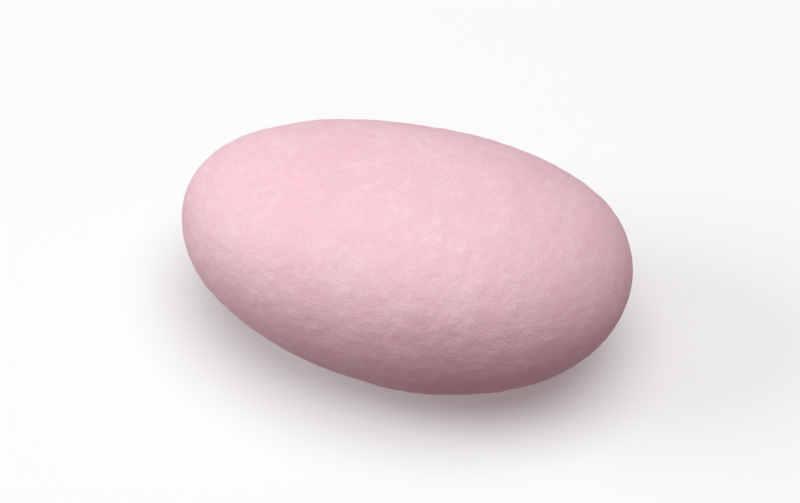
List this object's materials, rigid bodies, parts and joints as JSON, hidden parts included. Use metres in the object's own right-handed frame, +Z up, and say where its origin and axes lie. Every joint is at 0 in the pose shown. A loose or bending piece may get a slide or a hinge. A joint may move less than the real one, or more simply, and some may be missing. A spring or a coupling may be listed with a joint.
{
  "type": "sugared almond",
  "caption": "Whole almond under a smooth, matt pink sugar shell, a flattened egg with one broad end, lying on its broad side; a small sweet for eating.",
  "frame": {"origin": "on the flat that the almond rests on, under the middle of its bounding box", "axes": "+X along the almond to its broad end, +Y across its width to its straighter side, +Z up through its thickness"},
  "size_m": [0.027, 0.0166, 0.0121],
  "materials": {
    "sugar_shell": "matt, slightly powdery hard sugar, pale pink"
  },
  "bodies": {
    "root": {"sugared_almond": "sugar_shell"}
  },
  "joints": []
}
